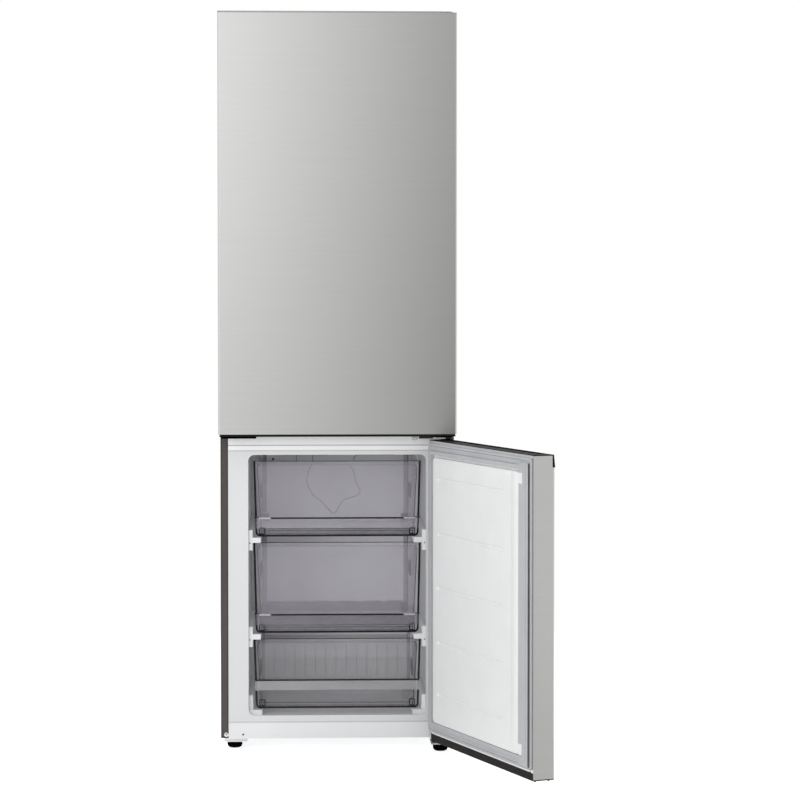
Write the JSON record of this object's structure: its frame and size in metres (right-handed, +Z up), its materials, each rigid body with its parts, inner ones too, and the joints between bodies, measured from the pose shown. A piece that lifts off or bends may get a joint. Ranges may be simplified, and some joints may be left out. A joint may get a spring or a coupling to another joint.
{
  "type": "bottom freezer refrigerator",
  "caption": "Tall free-standing refrigerator with a fridge compartment above and a freezer with pull-out drawers below; brushed steel doors hung on the right, freezer door stored open.",
  "frame": {"origin": "on the floor, under the middle of the part's box with the freezer door stored open; the cabinet's centre plane is at x = -0.09976 m and its front edge at y = -0.01546 m", "axes": "+Z up; -Y out of the front, towards the person; +X to the right as seen from the front"},
  "size_m": [0.7946, 1.201, 1.8553],
  "materials": {
    "steel": "satin brushed",
    "wrap": "satin paint",
    "galvanised": "matte zinc",
    "hinge_black": "satin",
    "compressor_black": "satin",
    "white_plastic": "satin",
    "white_steel": "satin",
    "gasket": "matte",
    "black_plastic": "matte",
    "grey_plastic": "satin",
    "foam": "matte",
    "smoked_clear": "gloss",
    "clear_plastic": "gloss",
    "glass": "gloss",
    "lamp": "satin",
    "aluminium": "satin",
    "tube_steel": "satin"
  },
  "bodies": {
    "cabinet": {"cabinet_shell": "wrap", "rear_panel": "wrap", "compressor_cover": "galvanised", "base_pan": "galvanised", "compressor_deck": "galvanised", "cabinet_foam": "foam", "fridge_liner": "white_plastic", "freezer_liner": "white_plastic", "mullion": "white_steel", "front_apron": "white_steel", "glass_shelf_1": "glass", "glass_shelf_2": "glass", "glass_shelf_3": "glass", "crisper_cover": "glass", "crisper_drawer_left": "clear_plastic", "crisper_drawer_right": "clear_plastic", "air_duct_cover": "white_plastic", "ceiling_lamp": "lamp", "top_runner_left": "white_plastic", "top_runner_right": "white_plastic", "middle_runner_left": "white_plastic", "middle_runner_right": "white_plastic", "evaporator_cover": "white_plastic", "evaporator_coil": "aluminium", "fan_motor": "black_plastic", "compressor": "compressor_black", "drip_tray": "black_plastic", "condenser_coil": "tube_steel", "top_hinge": "galvanised", "top_hinge_cover": "black_plastic", "middle_hinge": "hinge_black", "lower_hinge": "galvanised", "left_foot_bracket": "galvanised", "roller_bracket_left": "galvanised", "roller_bracket_right": "galvanised"},
    "upper_door": {"upper_door_skin": "steel", "upper_door_foam": "foam", "upper_door_liner": "white_plastic", "upper_door_inner_frame": "white_plastic", "upper_door_top_cap": "grey_plastic", "upper_door_bottom_cap": "black_plastic", "upper_door_gasket": "gasket"},
    "freezer_door": {"freezer_door_skin": "steel", "freezer_door_foam": "foam", "freezer_door_liner": "white_plastic", "freezer_door_top_cap": "black_plastic", "freezer_door_bottom_cap": "black_plastic", "freezer_door_gasket": "gasket"},
    "bin_low": {"door_bin_1": "clear_plastic"},
    "bin_middle": {"door_bin_2": "clear_plastic"},
    "bin_high": {"door_bin_3": "clear_plastic"},
    "drawer_top": {"freezer_drawer_top": "smoked_clear"},
    "drawer_middle": {"freezer_drawer_middle": "smoked_clear"},
    "drawer_bottom": {"freezer_drawer_bottom": "smoked_clear"},
    "fan": {"evaporator_fan": "black_plastic"},
    "roller_left": {"rear_roller_left": "black_plastic"},
    "roller_right": {"rear_roller_right": "black_plastic"},
    "foot_left": {"front_foot_left": "black_plastic"},
    "foot_right": {"front_foot_right": "black_plastic"}
  },
  "joints": [
    {"name": "upper_door_hinge", "type": "hinge", "parent": "cabinet", "child": "upper_door", "pos_m": [0.17084, -0.05896, 1.3], "axis": [0, 0, 1], "range_deg": [0, 125]},
    {"name": "freezer_door_hinge", "type": "hinge", "parent": "cabinet", "child": "freezer_door", "pos_m": [0.17084, -0.05896, 0.4], "axis": [0, 0, 1], "range_deg": [-111.2, 13.8]},
    {"name": "drawer_top_slide", "type": "slide", "parent": "cabinet", "child": "drawer_top", "axis": [0, -1, 0], "range_m": [0, 0.3]},
    {"name": "drawer_middle_slide", "type": "slide", "parent": "cabinet", "child": "drawer_middle", "axis": [0, -1, 0], "range_m": [0, 0.3]},
    {"name": "drawer_bottom_slide", "type": "slide", "parent": "cabinet", "child": "drawer_bottom", "axis": [0, -1, 0], "range_m": [0, 0.2]},
    {"name": "bin_low_lift", "type": "slide", "parent": "upper_door", "child": "bin_low", "axis": [0, 0, 1], "range_m": [0, 0.03]},
    {"name": "bin_middle_lift", "type": "slide", "parent": "upper_door", "child": "bin_middle", "axis": [0, 0, 1], "range_m": [0, 0.03]},
    {"name": "bin_high_lift", "type": "slide", "parent": "upper_door", "child": "bin_high", "axis": [0, 0, 1], "range_m": [0, 0.03]},
    {"name": "fan_spin", "type": "hinge", "parent": "cabinet", "child": "fan", "pos_m": [-0.09976, 0.46924, 0.64], "axis": [0, 1, 0], "continuous": true},
    {"name": "roller_left_spin", "type": "hinge", "parent": "cabinet", "child": "roller_left", "pos_m": [-0.35126, 0.55854, 0.013], "axis": [1, 0, 0], "continuous": true},
    {"name": "roller_right_spin", "type": "hinge", "parent": "cabinet", "child": "roller_right", "pos_m": [0.15174, 0.55854, 0.013], "axis": [1, 0, 0], "continuous": true},
    {"name": "foot_left_turn", "type": "hinge", "parent": "cabinet", "child": "foot_left", "pos_m": [-0.35926, 0.02054, 0.007], "axis": [0, 0, 1], "continuous": true},
    {"name": "foot_right_turn", "type": "hinge", "parent": "cabinet", "child": "foot_right", "pos_m": [0.15874, -0.04546, 0.007], "axis": [0, 0, 1], "continuous": true}
  ]
}
